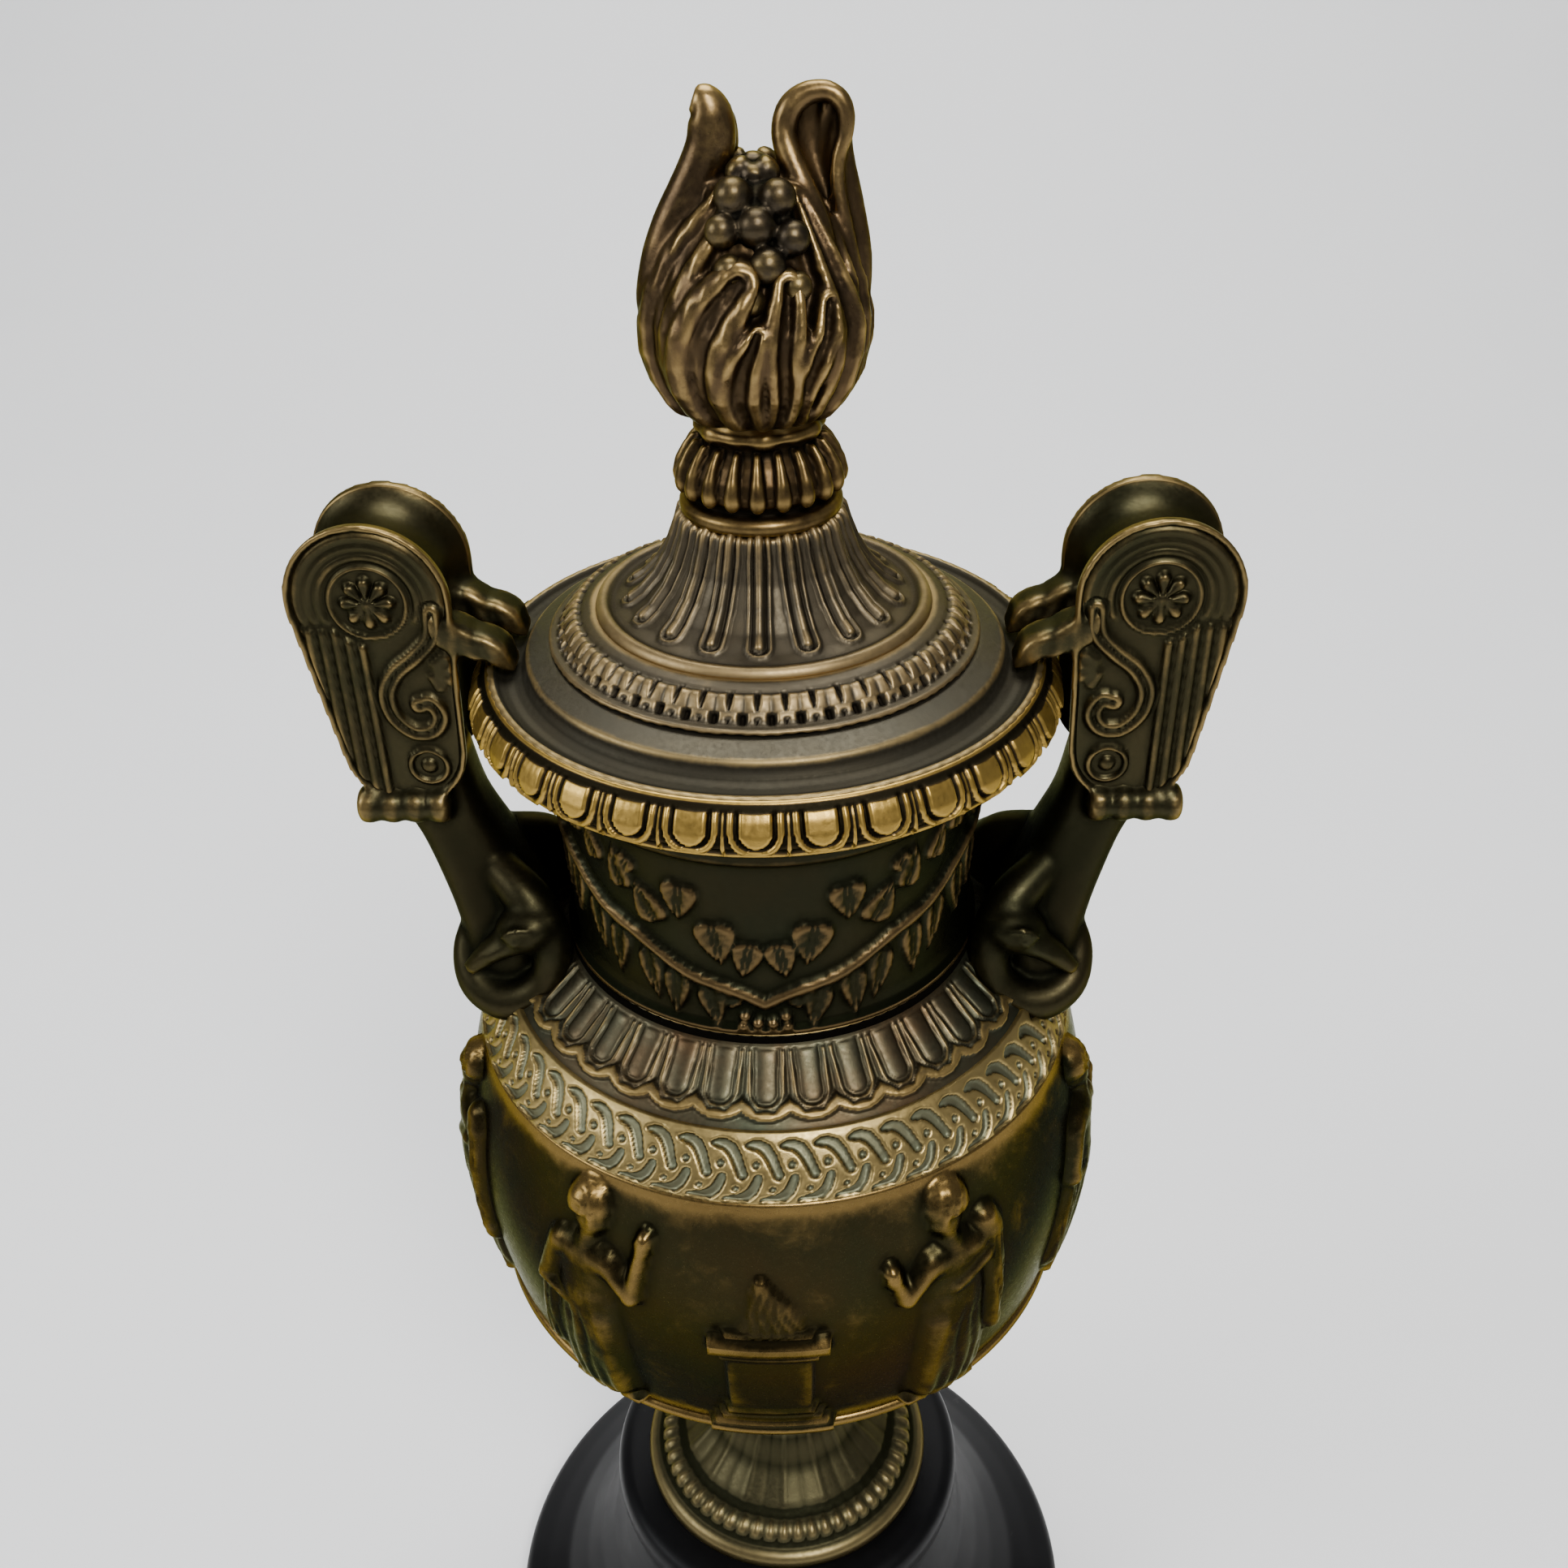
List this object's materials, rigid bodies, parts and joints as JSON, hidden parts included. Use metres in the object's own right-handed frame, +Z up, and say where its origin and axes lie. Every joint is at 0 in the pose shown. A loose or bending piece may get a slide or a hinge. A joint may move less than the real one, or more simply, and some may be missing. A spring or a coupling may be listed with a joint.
{
  "type": "covered mantel urn",
  "caption": "Covered two-handled bronze mantel urn with a figure frieze, on a round black marble plinth.",
  "frame": {"origin": "centre of the plinth's underside", "axes": "+Z up along the urn's axis; +X towards one handle and -X towards the other; the altar of the frieze faces -Y"},
  "size_m": [0.175, 0.161, 0.4247],
  "materials": {
    "bronze": "cast bronze with a dark brown-green patina, rubbed to gold-brown on the high points",
    "lid_bronze": "cast bronze with a grey-brown patina, rubbed bright on ribs and edges",
    "black_marble": "polished black marble, glossy"
  },
  "bodies": {
    "root": {"plinth": "black_marble", "foot": "bronze", "body": "bronze", "handle_right": "bronze", "handle_left": "bronze", "lid": "lid_bronze", "finial": "lid_bronze"}
  },
  "joints": []
}
